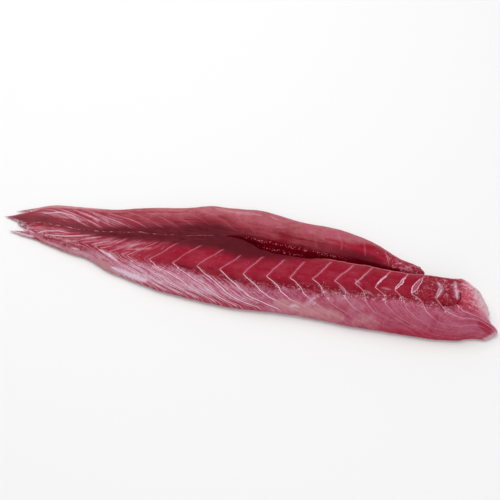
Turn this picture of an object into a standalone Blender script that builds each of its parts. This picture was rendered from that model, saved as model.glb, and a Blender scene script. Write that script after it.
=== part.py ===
"""A raw, skinless kahawai fillet, lying flesh side up, as one solid.

The fillet runs along X, tail at -X and head end at +X, and rests on Z = 0.
Its thick back loin is on the -Y side and its thinner belly strip on the +Y side.
The two are one piece from the tail to the tip of the V cut that took out the pin bones,
and part from there on. The belly strip stops short of the loin's head end.

Each lobe is an upper and an under surface over one grid:
s runs from the tail (0) to the head end (1), and t runs across the lobe in +Y (0 to 1).
Surface functions take and give whole arrays, in millimetres.
"""

import bmesh
import bpy
import numpy as np

MM = 0.001

# Driving dimensions, in millimetres.
LENGTH = 350.0
LOIN_WIDTH = 45.0
BELLY_WIDTH = 45.0
LOIN_THICKNESS = 21.0
BELLY_THICKNESS = 14.5
RIM_THICKNESS = 2.2
SEAM_OFFSET = 10.0
TAIL_END_X = -160.0
CUT_TIP_X = -17.0
BELLY_END_X = 112.0
LOIN_END_X = 160.0
RAGGEDNESS = 14.5
CUT_HALF_WIDTH = 5.4
CUT_FLOOR_SHARE = 0.3

# Lines along the fillet: (percent of LENGTH from the tail, percent of the size named after it).
LOIN_EDGE = (
    (0, -20), (4, -29), (8, -34), (11, -40), (17, -51.5), (18.6, -52.5), (21, -58.5), (24, -70),
    (31, -84.5), (36, -93.5), (40, -96), (50, -101), (60, -94), (66, -94), (70, -95), (81, -94.5),
    (90, -90), (92.5, -87), (93.7, -82.5), (95.5, -78.5), (98, -77.5), (100, -74.5),
)  # LOIN_WIDTH
BELLY_EDGE = (
    (0, 13), (4, 25), (9, 43.5), (13, 47), (19, 52), (22, 55.5), (26, 65), (29, 71.5), (37, 86.5),
    (40, 95), (43, 96), (46.3, 99), (50, 101.5), (59, 91), (67, 89), (74, 72), (80, 47), (82.5, 44),
    (85, 40),
)  # BELLY_WIDTH
SEAM = (
    (0, 0), (5, -20), (8, -5), (12, -20), (21, -30), (27, -5), (36, 25), (41, 50), (45, 75),
    (49, 85), (53, 55), (57, 45), (67, 46), (71, 43), (73.5, 41), (76, 31), (78, 26), (80, 23.5),
    (82, 24), (84.5, 35), (87, 42), (90, 46), (92, 64), (94, 72), (100, 90),
)  # SEAM_OFFSET
CUT_WIDTH = (
    (45, 0), (48, 30), (50, 52), (53, 91), (57, 100), (63, 83), (67, 59), (71, 55), (73, 50),
    (76, 43), (78, 40), (81, 32), (85, 27), (100, 27),
)  # CUT_HALF_WIDTH
LOIN_CREST = (
    (0, 9), (4, 21), (11, 33), (19, 48), (29, 64), (39, 79), (50, 90), (61, 98), (73, 100),
    (84, 100), (93, 95), (100, 86),
)  # LOIN_THICKNESS
BELLY_CREST = (
    (0, 12), (4, 28), (11, 41), (19, 59), (29, 76), (39, 90), (50, 100), (61, 100), (73, 93),
    (80, 83), (85, 76),
)  # BELLY_THICKNESS
SEAM_HEIGHT = (
    (0, 8), (4, 15), (11, 24), (19, 36), (29, 48), (39, 57), (45, 63), (50, 67), (61, 71),
    (73, 74), (84, 74), (100, 67),
)  # LOIN_THICKNESS
RIM_HEIGHT = ((0, 45), (15, 80), (35, 100), (80, 100), (100, 80))  # RIM_THICKNESS

# The ragged ends: (percent across the lobe, or of both lobes with the seam at 0,
# and percent of RAGGEDNESS by which the flesh reaches past the end's X).
TAIL_STRANDS = (
    (-100, 48), (-92, 34), (-70, -17), (-42, -34), (-30, 0), (-18, 21), (-6, 3), (5, 41),
    (24, 100), (44, 70), (60, 45), (72, -17), (82, -14), (92, 55), (100, 28),
)
BELLY_END = ((0, 0), (15, 28), (40, 48), (70, 50), (100, 30))
LOIN_END = (
    (0, 41), (6, 67), (12, 90), (20, 91), (25, 64), (30, 51), (40, 46), (50, 40), (65, 26),
    (80, 3), (92, -20), (100, -54),
)

# Section across the lobes.
LOIN_CREST_AT = 0.44
BELLY_CREST_AT = 0.34
BELLY_DROP_BESIDE_CUT = 0.12
BELLY_DROP_LENGTH = 60.0
TAIL_ROUNDING = 10.0
BELLY_END_ROUNDING = 14.0
LOIN_END_ROUNDING = (24.0, 11.0)  # at the rim, beside the cut
EDGE_UNDERCUT = 9.0
END_UNDERCUT = 7.0

# Muscle segments, parted by shallow grooves in the shape of a <.
FIRST_SEPTUM_X = -77.0
SEPTUM_PITCH = 16.4
PITCH_LOSS = 0.11
SEPTUM_POINT = (
    (0, 33), (33, 33.5), (37, 35), (47, 35), (51, 35.5), (56, 38.5), (60, 40.5), (64, 43.5),
    (68, 46), (72, 50), (76, 49.5), (80, 49.5), (83, 47), (87, 46.5), (91, 39), (100, 30),
)  # percent across the loin
INNER_LEAN = (
    (0, 60), (12, 52), (20, 38), (28, 25), (46, 24), (52, 14), (60, 10), (73, 10), (81, 7), (88, 4),
    (100, -5),
)  # millimetres
# Millimetres by percent of the outer arm's way from its point to the rim.
OUTER_LEAN = (
    (0, 0), (20, 5), (40, 9), (55, 12), (65, 16), (73, 19), (80, 24), (86, 30), (91, 36), (96, 43), (100, 46),
)
# Millimetres by which the outer arms sweep on further, where the rim turns.
OUTER_SWEEP = ((0, 9), (45, 9), (52, 4), (57, 1), (85, -1), (88, 1), (92, 12), (95, 25), (100, 42))
BELLY_LEAN = ((0, 60), (30, 55), (40, 45), (50, 28), (60, 15), (75, 12), (100, 8))  # millimetres
GROOVE_DEPTH = 0.8
GROOVE_WIDTH = 2.6

# Grid sizes; the under surfaces keep only every UNDER_STEP-th line.
JOINED_STATIONS = 60
LOIN_STATIONS = 68
BELLY_STATIONS = 48
LOIN_COLUMNS = 22
BELLY_COLUMNS = 16
WALL_ROWS = 3
UNDER_STEP = 2
CROWDING = 1.3
WELD_DISTANCE = 0.001

FLESH_COLOUR = (0.38, 0.045, 0.08, 1.0)
FLESH_ROUGHNESS = 0.32


def curve(points, at):
    """A smooth line through (place, value) points, read at the given places."""
    places, values = np.array(points, float).T
    slopes = np.gradient(values, places)
    i = np.clip(np.searchsorted(places, at) - 1, 0, len(places) - 2)
    gap = places[i + 1] - places[i]
    u = np.clip((at - places[i]) / gap, 0, 1)
    start = (1 + 2 * u) * (1 - u) ** 2 * values[i] + u * (1 - u) ** 2 * gap * slopes[i]
    end = u * u * (3 - 2 * u) * values[i + 1] - u * u * (1 - u) * gap * slopes[i + 1]
    return start + end


def along(points, size, x):
    """A line along the fillet, given in percent of size, read at x."""
    return curve(points, (x / LENGTH + 0.5) * 100) * size / 100


def rounded(distance, width, power=2.2):
    """Rises from 0 at an edge to 1 at the given width, steeply first, as a rounded edge does."""
    u = np.clip(distance / width, 0, 1)
    return (1 - (1 - u) ** power) ** 0.67


def cut_half_width(x):
    """Half the V cut's width at the surface; nothing behind its tip."""
    return np.where(x > CUT_TIP_X, along(CUT_WIDTH, CUT_HALF_WIDTH, x), 0.0)


def rim_height(x):
    return along(RIM_HEIGHT, RIM_THICKNESS, x)


def tail_end(across):
    """X of the torn tail end; across is -1 at the loin's rim, 0 at the seam, 1 at the belly's rim."""
    places, reach = np.array(TAIL_STRANDS, float).T
    return TAIL_END_X - np.interp(across * 100, places, reach) / 100 * RAGGEDNESS


def loin_end(t):
    return LOIN_END_X + curve(LOIN_END, t * 100) / 100 * RAGGEDNESS


def belly_end(t):
    return BELLY_END_X + curve(BELLY_END, t * 100) / 100 * RAGGEDNESS


def tip_share():
    """The share s at which both lobes reach the tip of the cut."""
    tail = tail_end(0.0)
    return (CUT_TIP_X - tail) / (loin_end(1.0) - tail)


def groove(x, lean):
    """Depth of the grooves between muscle segments, which lean headwards by the given length."""
    x = x - lean
    root = np.sqrt(np.maximum(SEPTUM_PITCH**2 - 4 * PITCH_LOSS * (x - FIRST_SEPTUM_X), 0))
    number = (SEPTUM_PITCH - root) / (2 * PITCH_LOSS)
    away = np.abs(number - np.round(number)) * SEPTUM_PITCH
    return GROOVE_DEPTH * np.exp(-((away / GROOVE_WIDTH) ** 2))


def loin_lean(x, t):
    """Both arms of each < lean headwards from its point, the outer one sweeping along the rim."""
    point = along(SEPTUM_POINT, 1, x)
    inner = np.clip((t - point) / (1 - point), 0, 1)
    outer = np.clip((point - t) / point, 0, 1)
    sweep = along(OUTER_SWEEP, 100, x) * np.clip((outer - 0.2) / 0.5, 0, 1)
    return along(INNER_LEAN, 100, x) * inner + curve(OUTER_LEAN, outer * 100) + sweep


def belly_lean(x, t):
    """The belly's segments meet the loin's at the seam and run back towards the tail from there."""
    return along(INNER_LEAN, 100, x) - along(BELLY_LEAN, 100, x) * t


def loin_plan(s, t):
    """X, the rim's Y, the seam's Y, and the distances to the tail end and to the head end."""
    tail, head = tail_end(t - 1), loin_end(t)
    x = tail + s * (head - tail)
    return x, along(LOIN_EDGE, LOIN_WIDTH, x), along(SEAM, SEAM_OFFSET, x), x - tail, head - x


def belly_plan(s, t):
    """The same for the belly strip, whose stations meet the loin's up to the tip of the cut."""
    tail, head, tip = tail_end(t), belly_end(t), tip_share()
    joined = tail + s / tip * (CUT_TIP_X - tail)
    parted = CUT_TIP_X + (s - tip) / (1 - tip) * (head - CUT_TIP_X)
    x = np.where(s <= tip, joined, parted)
    return x, along(BELLY_EDGE, BELLY_WIDTH, x), along(SEAM, SEAM_OFFSET, x), x - tail, head - x


def loin_top(s, t):
    """A steep flank from the rim to the crest, then a gentle fall to the seam."""
    x, edge, seam, from_tail, from_head = loin_plan(s, t)
    y = edge + (seam - cut_half_width(x) - edge) * t
    flank = (1 - (1 - np.clip(t / LOIN_CREST_AT, 0, 1)) ** 2.3) ** 0.72
    inner = np.clip((t - LOIN_CREST_AT) / (1 - LOIN_CREST_AT), 0, 1)
    crest = along(LOIN_CREST, LOIN_THICKNESS, x)
    beside_seam = along(SEAM_HEIGHT, LOIN_THICKNESS, x)
    crown = crest + (beside_seam - crest) * inner**1.7 - groove(x, loin_lean(x, t))
    head_rounding = LOIN_END_ROUNDING[0] + np.diff(LOIN_END_ROUNDING) * t**3
    ends = rounded(from_tail, TAIL_ROUNDING, 2.0) * rounded(from_head, head_rounding)
    rim = rim_height(x)
    return x, y, rim + (crown - rim) * flank * ends


def belly_top(s, t):
    """From the seam over a low crest, then a rounded fall to the rim."""
    x, edge, seam, from_tail, from_head = belly_plan(s, t)
    inner_y = seam + cut_half_width(x)
    y = inner_y + (edge - inner_y) * t
    drop = BELLY_DROP_BESIDE_CUT * np.clip((x - CUT_TIP_X) / BELLY_DROP_LENGTH, 0, 1)
    beside_seam = along(SEAM_HEIGHT, LOIN_THICKNESS, x) * (1 - drop)
    rise = 1 - (1 - np.clip(t / BELLY_CREST_AT, 0, 1)) ** 1.7
    crest = along(BELLY_CREST, BELLY_THICKNESS, x)
    crown = beside_seam + (crest - beside_seam) * rise - groove(x, belly_lean(x, t))
    side = np.clip((1 - t) / (1 - BELLY_CREST_AT), 0, 1)
    flank = (1 - (1 - side) ** 2) ** 0.85
    ends = rounded(from_tail, TAIL_ROUNDING, 2.0) * rounded(from_head, BELLY_END_ROUNDING)
    rim = rim_height(x)
    return x, y, rim + (crown - rim) * flank * ends


def under(plan, side, s, t):
    """Flat on Z = 0, curling up to the rim at the outer edge and the ends; side is -1 for the loin."""
    x, edge, seam, from_tail, from_head = plan(s, t)
    end_curl = (1 - np.clip(np.minimum(from_tail, from_head) / END_UNDERCUT, 0, 1)) ** 2
    floor_share = CUT_FLOOR_SHARE + (1 - CUT_FLOOR_SHARE) * end_curl
    inner_y = seam + side * floor_share * cut_half_width(x)
    from_rim = t if side < 0 else 1 - t
    y = edge + (inner_y - edge) * from_rim
    edge_curl = (1 - np.clip(np.abs(y - edge) / EDGE_UNDERCUT, 0, 1)) ** 2
    return x, y, rim_height(x) * (1 - (1 - edge_curl) * (1 - end_curl))


def stations(parted):
    """Places s along a lobe, crowded at its two ends, with one exactly at the tip of the cut."""
    joined = tip_share() * np.linspace(0, 1, JOINED_STATIONS + 1) ** CROWDING
    rest = 1 - (1 - tip_share()) * np.linspace(1, 0, parted + 1) ** CROWDING
    return np.concatenate([joined, rest[1:]])


def add_grid(mesh, points, step=1):
    """Faces over a grid of points; a step above 1 thins the grid inside, but not its border."""
    rows, columns = points.shape[:2]
    i, j = np.indices((rows, columns))
    border = (i == 0) | (i == rows - 1) | (j == 0) | (j == columns - 1)
    kept = np.nonzero(border | ((i % step == 0) & (j % step == 0)))
    verts = {(a, b): mesh.verts.new(points[a, b] * MM) for a, b in zip(*kept)}
    for a in range(0, rows - 1, step):
        for b in range(0, columns - 1, step):
            ring = [(a, b + k) for k in range(step)]
            ring += [(a + k, b + step) for k in range(step)]
            ring += [(a + step, b + step - k) for k in range(step)]
            ring += [(a + step - k, b) for k in range(step)]
            mesh.faces.new([verts[corner] for corner in ring if corner in verts])


def add_cut_wall(mesh, upper, lower):
    """The face of the cut, straight from a top surface's inner edge to the under surface's."""
    share = np.linspace(0, 1, WALL_ROWS + 1)[None, :, None]
    add_grid(mesh, upper[:, None] * (1 - share) + lower[:, None] * share)


def build_fillet():
    """Both lobes' upper and under surfaces and the two faces of the cut, welded into one body."""
    mesh = bmesh.new()
    lobes = (
        (loin_top, loin_plan, -1, LOIN_STATIONS, np.linspace(0, 1, LOIN_COLUMNS + 1) ** CROWDING),
        (belly_top, belly_plan, 1, BELLY_STATIONS, 1 - np.linspace(1, 0, BELLY_COLUMNS + 1) ** CROWDING),
    )
    for top, plan, side, parted, columns in lobes:
        s, t = np.meshgrid(stations(parted), columns, indexing="ij")
        upper = np.stack(top(s, t), axis=-1)
        lower = np.stack(under(plan, side, s, t), axis=-1)
        inner = -1 if side < 0 else 0
        add_grid(mesh, upper)
        add_grid(mesh, lower, UNDER_STEP)
        add_cut_wall(mesh, upper[JOINED_STATIONS:, inner], lower[JOINED_STATIONS:, inner])
    bmesh.ops.remove_doubles(mesh, verts=mesh.verts, dist=WELD_DISTANCE * MM)
    bmesh.ops.recalc_face_normals(mesh, faces=mesh.faces)
    return mesh


def flesh_material():
    material = bpy.data.materials.new("raw_flesh")
    material.use_nodes = True
    shader = material.node_tree.nodes["Principled BSDF"]
    shader.inputs["Base Color"].default_value = FLESH_COLOUR
    shader.inputs["Roughness"].default_value = FLESH_ROUGHNESS
    shader.inputs["Metallic"].default_value = 0.0
    return material


def main():
    for old in list(bpy.data.objects):
        bpy.data.objects.remove(old)
    data = bpy.data.meshes.new("fillet")
    mesh = build_fillet()
    mesh.to_mesh(data)
    mesh.free()
    data.shade_smooth()
    data.materials.append(flesh_material())
    bpy.context.scene.collection.objects.link(bpy.data.objects.new("fillet", data))


main()
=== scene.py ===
import math

import bpy
import numpy as np
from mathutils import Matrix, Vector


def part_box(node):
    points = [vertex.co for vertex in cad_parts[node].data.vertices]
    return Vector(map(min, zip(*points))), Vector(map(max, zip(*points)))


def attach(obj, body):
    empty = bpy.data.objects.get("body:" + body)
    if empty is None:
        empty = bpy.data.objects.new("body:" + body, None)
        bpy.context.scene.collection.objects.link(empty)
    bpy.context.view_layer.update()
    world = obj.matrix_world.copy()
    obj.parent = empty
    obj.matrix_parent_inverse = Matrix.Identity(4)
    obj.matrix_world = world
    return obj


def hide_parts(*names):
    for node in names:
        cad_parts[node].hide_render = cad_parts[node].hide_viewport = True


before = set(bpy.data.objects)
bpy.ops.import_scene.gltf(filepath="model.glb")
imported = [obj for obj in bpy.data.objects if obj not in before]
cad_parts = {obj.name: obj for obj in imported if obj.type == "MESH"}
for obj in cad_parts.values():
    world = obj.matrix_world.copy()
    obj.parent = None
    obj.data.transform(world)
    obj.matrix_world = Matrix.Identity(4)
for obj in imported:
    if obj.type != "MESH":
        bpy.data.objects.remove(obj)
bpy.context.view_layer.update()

# A raw kahawai fillet, flesh side up. Shape work is in millimetres, and meshes are written in metres.
# s runs along the fillet from the tail (0) to the head end (1), t runs across a lobe towards +Y.
mm = 0.001
lowCorner, highCorner = (np.array(corner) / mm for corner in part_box("fillet"))
print("frame loaded")

# Lines along the fillet are pairs in turn: percent of the length from the tail, percent of a size.
form = {
    "length": 350,
    "loinWidth": 45,
    "bellyWidth": 45,
    "loinThickness": 21,
    "bellyThickness": 14.5,
    "rimThickness": 2.2,
    "seamOffset": 10,
    "tailEndX": -160,
    "cutTipX": -17,
    "bellyEndX": 112,
    "loinEndX": 160,
    "raggedness": 14.5,
    "cutHalfWidth": 5.4,
    "cutFloorShare": 0.3,
    "loinEdge": (
        0, -20, 4, -29, 8, -34, 11, -40, 17, -51.5, 18.6, -52.5, 21, -58.5, 24, -70, 31, -84.5,
        36, -93.5, 40, -96, 50, -101, 60, -94, 66, -94, 70, -95, 81, -94.5, 90, -90, 92.5, -87,
        93.7, -82.5, 95.5, -78.5, 98, -77.5, 100, -74.5,
    ),
    "bellyEdge": (
        0, 13, 4, 25, 9, 43.5, 13, 47, 19, 52, 22, 55.5, 26, 65, 29, 71.5, 37, 86.5, 40, 95, 43, 96,
        46.3, 99, 50, 101.5, 59, 91, 67, 89, 74, 72, 80, 47, 82.5, 44, 85, 40,
    ),
    "seam": (
        0, 0, 5, -20, 8, -5, 12, -20, 21, -30, 27, -5, 36, 25, 41, 50, 45, 75, 49, 85, 53, 55, 57, 45,
        67, 46, 71, 43, 73.5, 41, 76, 31, 78, 26, 80, 23.5, 82, 24, 84.5, 35, 87, 42, 90, 46, 92, 64,
        94, 72, 100, 90,
    ),
    "cutWidth": (
        45, 0, 48, 30, 50, 52, 53, 91, 57, 100, 63, 83, 67, 59, 71, 55, 73, 50, 76, 43, 78, 40, 81, 32,
        85, 27, 100, 27,
    ),
    "loinCrest": (
        0, 9, 4, 21, 11, 33, 19, 48, 29, 64, 39, 79, 50, 90, 61, 98, 73, 100, 84, 100, 93, 95, 100, 86,
    ),
    "bellyCrest": (
        0, 12, 4, 28, 11, 41, 19, 59, 29, 76, 39, 90, 50, 100, 61, 100, 73, 93, 80, 83, 85, 76,
    ),
    "seamHeight": (
        0, 8, 4, 15, 11, 24, 19, 36, 29, 48, 39, 57, 45, 63, 50, 67, 61, 71, 73, 74, 84, 74, 100, 67,
    ),
    "rimHeight": (0, 45, 15, 80, 35, 100, 80, 100, 100, 80),
    # Ragged ends are percent across, percent of the raggedness past the end.
    "tailStrands": (
        -100, 48, -92, 34, -70, -17, -42, -34, -30, 0, -18, 21, -6, 3, 5, 41, 24, 98, 44, 70, 60, 45,
        72, -17, 82, -14, 92, 55, 100, 28,
    ),
    "bellyEnd": (0, 0, 15, 28, 40, 48, 70, 50, 100, 30),
    "loinEnd": (
        0, 41, 6, 67, 12, 90, 20, 91, 25, 64, 30, 51, 40, 46, 50, 40, 65, 26, 80, 3, 92, -20, 100, -54,
    ),
    # Where the crest lies across a lobe, and the powers that bend the surface on both its sides.
    "loinCrestAt": 0.44,
    "loinFlankCurve": (2.3, 0.72),
    "loinCrownCurve": 1.7,
    "bellyCrestAt": 0.34,
    "bellyFlankCurve": (2, 0.85),
    "bellyCrownCurve": 1.7,
    "bellyDrop": 0.12,
    "bellyDropLength": 60,
    "tailRounding": 10,
    "bellyEndRounding": 14,
    "loinEndRounding": (24, 11),
    "edgeUndercut": 9,
    "endUndercut": 7,
}

# Septa are the pale sheets between muscle segments. Each draws a < on the loin, whose arms lean headwards.
septa = {
    "loinNumber": (
        -176, -8.5, -148, -6, -124, -4, -101, -2, -77, 0, -45, 2, -12, 4, 19, 6, 50, 8, 78, 10, 104, 12,
        115.5, 13, 130, 14, 144, 15, 176, 17.6,
    ),
    "bellyNumber": (-176, -5.6, -119, 0, -89, 3, -53, 6, -29, 8, -2, 10, 44, 13, 79, 15, 110, 17),
    "point": (
        0, 33, 33, 33.5, 37, 35, 47, 35, 51, 35.5, 56, 38.5, 60, 40.5, 64, 43.5, 68, 46, 72, 50,
        76, 49.5, 80, 49.5, 83, 47, 87, 46.5, 91, 39, 100, 30,
    ),
    "innerLean": (
        0, 60, 12, 52, 20, 38, 28, 25, 33, 23, 42, 22.5, 46, 24.5, 49, 21, 52, 14.5, 56, 14, 60, 10,
        73, 10, 77, 7.5, 81, 7, 85, 5.4, 88, 3.6, 91, -2.4, 100, -5.3,
    ),
    # Lean of the outer arm by percent of its way from the point to the rim, and what the tail's
    # and the head end's arms lean more than that.
    "outerLean": (
        0, 0, 20, 5, 40, 9, 55, 11.7, 65, 15.8, 73, 19, 80, 24.5, 86, 30, 91, 36, 96, 43, 100, 46,
    ),
    "sweep": (0, 9, 45, 8.6, 52, 3.7, 57, 1.8, 85, -1.3, 88, 0.5, 92, 12, 95, 25, 98, 38, 100, 42),
    "bellyLean": (0, 65, 20, 55, 35, 52, 43, 50, 48, 38, 55, 22, 62, 14, 70, 10, 85, 7, 100, 7),
    "bellyLeanFrom": 0.25,
    # How strongly the lines show and how thick they are, by percent of the way along.
    "innerGain": (0, 0.25, 25, 0.4, 35, 0.8, 86, 0.95, 88, 0.5, 90, 0, 100, 0),
    "outerGain": (
        0, 0.15, 20, 0.2, 28, 0.5, 34, 0.85, 40, 0.95, 62, 0.9, 70, 0.62, 84, 0.55, 92, 0.6, 100, 0.4,
    ),
    "bellyGain": (
        0, 0.5, 20, 0.75, 26, 0.45, 32, 0.3, 45, 0.28, 62, 0.22, 66, 0.45, 70, 0.6, 80, 0.5, 85, 0,
    ),
    "innerThick": (0, 0.8, 18, 0.8, 26, 0.5, 33, 0.25, 100, 0.25),
    "bellyThick": (0, 0.8, 20, 0.8, 28, 0.4, 34, 0.2, 100, 0.25),
    "cutClear": (0, 0, 52, 0, 56, 5.5, 66, 4.5, 76, 2.5, 100, 1.5),
    "grooveDepth": 0.35,
    "grooveWidth": 2.3,
    "threadHeight": 0.16,
    "threadWidth": 0.45,
    "bellyShare": 0.6,
    # Half widths of the loose flaps that some septa end in, by septum number.
    "flapWidth": (9, 0, 10, 0.3, 11, 0.55, 12, 1, 13, 1.9, 14, 0.35, 15, 0, 16, 0),
    "flapLength": 0.78,
    "flapHeight": 0.7,
}

# Zones across the lobes: percent along, percent across.
zones = {
    "loinPale": (
        0, 10, 20, 14, 27, 18, 33, 25, 38, 26, 45, 22, 53, 20, 60, 21, 68, 24, 75, 28, 83, 31, 88, 28,
        92, 32, 97, 38, 100, 40,
    ),
    "bellyPale": (
        0, 80, 20, 75, 29, 58, 38, 54, 42, 48, 46, 44, 49, 35, 60, 34, 66, 30, 70, 42, 73, 66, 77, 78,
        80, 85, 85, 95,
    ),
    "loinBlood": (
        0, 92, 7, 85, 13, 78, 18, 71, 25, 73, 42, 73, 46, 68, 49, 64, 51, 68, 53, 76, 56, 82, 59, 86,
        62, 95, 66, 106, 100, 110,
    ),
    "bellyBlood": (
        0, 42, 5, 36, 9, 26, 16, 21, 24, 18, 31, 20, 38, 25, 42, 30, 46, 19, 50, 10, 60, 8, 66, 16,
        70, 20, 76, 18, 80, 8, 85, -5,
    ),
    # How dark the blood line is, by percent of the way along.
    "loinBloodDepth": (0, 0.9, 20, 1, 50, 1, 57, 0.85, 63, 0.5, 67, 0),
    "bellyBloodDepth": (0, 0.9, 20, 1, 45, 0.95, 50, 0.55, 66, 0.55, 70, 0.85, 76, 0.8, 82, 0),
}

grid = {
    "joined": 236,
    "loin": 284,
    "belly": 224,
    "loinColumns": 80,
    "bellyColumns": 50,
    "wallRows": 10,
    "crowding": 1.12,
    "loinCrowding": 1.15,
    "bellyCrowding": 1.1,
}


# Places and values of a line that gives them in turn.
def pairs(line):
    return np.array(line, float).reshape(-1, 2).T


# A smooth line through its points: cubic pieces whose slopes come from their neighbours.
def curve(line, at):
    places, values = pairs(line)
    slopes = np.gradient(values, places)
    i = np.clip(np.searchsorted(places, at) - 1, 0, len(places) - 2)
    gap = places[i + 1] - places[i]
    u = np.clip((at - places[i]) / gap, 0, 1)
    start = (1 + 2 * u) * (1 - u) ** 2 * values[i] + u * (1 - u) ** 2 * gap * slopes[i]
    end = u * u * (3 - 2 * u) * values[i + 1] - u * u * (1 - u) * gap * slopes[i + 1]
    return start + end


def percentAlong(x):
    return (x / form["length"] + 0.5) * 100


# A named line of the form, in millimetres of the size that it is a percentage of.
def formLine(name, size, x):
    return curve(form[name], percentAlong(x)) * form[size] / 100


# A named line of the septa or the zones, read at x.
def lineAt(name, x):
    return curve((septa | zones)[name], percentAlong(x))


# From 0 at low to 1 at high, with a soft start and end.
def ease(low, high, value):
    u = np.clip((value - low) / (high - low), 0, 1)
    return u * u * (3 - 2 * u)


# From 0 to 1 as the share goes from 0 to 1, steep first and level at the end.
def raised(share, power, outerPower=1):
    return (1 - (1 - np.clip(share, 0, 1)) ** power) ** outerPower


# From 0 at an edge to 1 at the width, as a rounded edge rises.
def rounded(distance, width, power=2.2):
    return raised(distance / width, power, 0.67)


# A bell round zero, of height 1, that falls to 0.37 at the given width.
def bell(distance, width):
    return np.exp(-((distance / width) ** 2))


# Random heights from -1 to 1 on a square lattice of the given size, eased between its corners.
def lumps(x, y, size, seed):
    table = np.random.default_rng(seed).uniform(-1, 1, (64, 64))
    u, v = x / size + 900, y / size + 900
    i, j = np.floor(u).astype(int), np.floor(v).astype(int)
    f, g = ease(0, 1, u - i), ease(0, 1, v - j)
    near = table[i % 64, j % 64] * (1 - f) + table[(i + 1) % 64, j % 64] * f
    far = table[i % 64, (j + 1) % 64] * (1 - f) + table[(i + 1) % 64, (j + 1) % 64] * f
    return near * (1 - g) + far * g


# Layers of lumps: (height and size in millimetres, random seed). Wobbles are as high as a share of a
# septum number, and the rim's heights only weigh its two layers.
layers = {
    "flesh": ((0.3, 13, 1), (0.12, 4, 2), (0.04, 1.6, 7)),
    "loinEnd": ((0.35, 2, 41), (0.2, 1.1, 42)),
    "bellyEnd": ((0.4, 2, 43), (0.25, 1.1, 44)),
    "cutFace": ((0.5, 3, 51), (0.25, 1.3, 52)),
    "rim": ((0.8, 11, 8), (0.5, 3.2, 9)),
    "loinWobble": ((0.05, 9, 3), (0.025, 3.2, 4)),
    "bellyWobble": ((0.05, 9, 13), (0.025, 3.2, 14)),
}


def layered(name, x, y):
    return sum(height * lumps(x, y, size, seed) for height, size, seed in layers[name])


# Distance from each place to a line through the given points, all in the same plane, and the share
# of the line's pieces that lie before the nearest point.
def distanceTo(points, x, y):
    nearest, share = np.full(np.shape(x), 1e6), np.zeros(np.shape(x))
    for k, ((ax, ay), (bx, by)) in enumerate(zip(points, points[1:])):
        dx, dy = bx - ax, by - ay
        u = np.clip(((x - ax) * dx + (y - ay) * dy) / (dx * dx + dy * dy), 0, 1)
        away = np.hypot(x - ax - u * dx, y - ay - u * dy)
        share = np.where(away < nearest, (k + u) / (len(points) - 1), share)
        nearest = np.minimum(nearest, away)
    return nearest, share


ragged = {
    "rim": 0.9,
    "tailRim": 1.3,
    "headRim": 1.7,
    "headFrill": 1.6,
    "headFrillSize": 2.4,
    "bellyFrill": 0.9,
    "bellyFrillSize": 1.7,
    "cutLip": 0.12,
    "cutLipSize": 3,
    "lipRounding": 2.4,
    "lipDrop": 0.9,
    "fleshDrop": 0.35,
    "loinGashDepth": 0.5,
    "bellyGashDepth": 0.4,
}


# Half the width of the V cut at the surface, which wavers a little; nothing behind its tip.
def cutHalfWidth(x, side):
    waver = 1 + ragged["cutLip"] * lumps(x, side * 7, ragged["cutLipSize"], 21)
    return np.where(x > form["cutTipX"], formLine("cutWidth", "cutHalfWidth", x), 0) * waver


# How far the rim is nicked inwards: long and short lumps, deeper at the tail and the head end.
def rimNick(x, row):
    depth = ragged["rim"] + (ragged["tailRim"] - ragged["rim"]) * ease(-110, -150, x)
    depth += (ragged["headRim"] - ragged["rim"]) * ease(136, 148, x)
    most = sum(height for height, size, seed in layers["rim"])
    return depth * (1 + layered("rim", x, row) / most) / 2


def rimHeight(x):
    return formLine("rimHeight", "rimThickness", x)


# X of the torn tail: straight lines from strand to strand. Across is -1 at the loin's rim,
# 0 at the seam and 1 at the belly's rim.
def tailEnd(across):
    places, reach = pairs(form["tailStrands"])
    return form["tailEndX"] - np.interp(across * 100, places, reach) / 100 * form["raggedness"]


# X of the loin's head end: a smooth line across, with a fine frill on it that fades at both sides.
def loinEnd(t):
    across, size = t * form["loinWidth"], ragged["headFrillSize"]
    frill = ragged["headFrill"] * (lumps(across, 0, size, 5) + 0.5 * lumps(across, 9, size / 2, 6))
    fade = ease(0.02, 0.2, t) * ease(0, 0.04, 1 - t)
    return form["loinEndX"] + curve(form["loinEnd"], t * 100) / 100 * form["raggedness"] + frill * fade


def bellyEnd(t):
    frill = ragged["bellyFrill"] * lumps(t * 14, 3, ragged["bellyFrillSize"], 6)
    fade = ease(0, 0.1, t) * ease(0, 0.1, 1 - t)
    return form["bellyEndX"] + curve(form["bellyEnd"], t * 100) / 100 * form["raggedness"] + frill * fade


# The share s at which both lobes reach the tip of the cut.
tipShare = float((form["cutTipX"] - tailEnd(0.0)) / (loinEnd(1.0) - tailEnd(0.0)))


# Where a place (s, t) of the loin lies: its X, the rim's Y, the seam's Y, and the distances to both ends.
def loinPlan(s, t):
    tail, head = tailEnd(t - 1), loinEnd(t)
    x = tail + s * (head - tail)
    rim = formLine("loinEdge", "loinWidth", x) + rimNick(x, 0)
    return x, rim, formLine("seam", "seamOffset", x), x - tail, head - x


# The same for the belly strip, whose stations meet the loin's up to the tip of the cut.
def bellyPlan(s, t):
    tail, head = tailEnd(t), bellyEnd(t)
    joined = tail + s / tipShare * (form["cutTipX"] - tail)
    parted = form["cutTipX"] + (s - tipShare) / (1 - tipShare) * (head - form["cutTipX"])
    x = np.where(s <= tipShare, joined, parted)
    rim = formLine("bellyEdge", "bellyWidth", x) - rimNick(x, 50)
    return x, rim, formLine("seam", "seamOffset", x), x - tail, head - x


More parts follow.
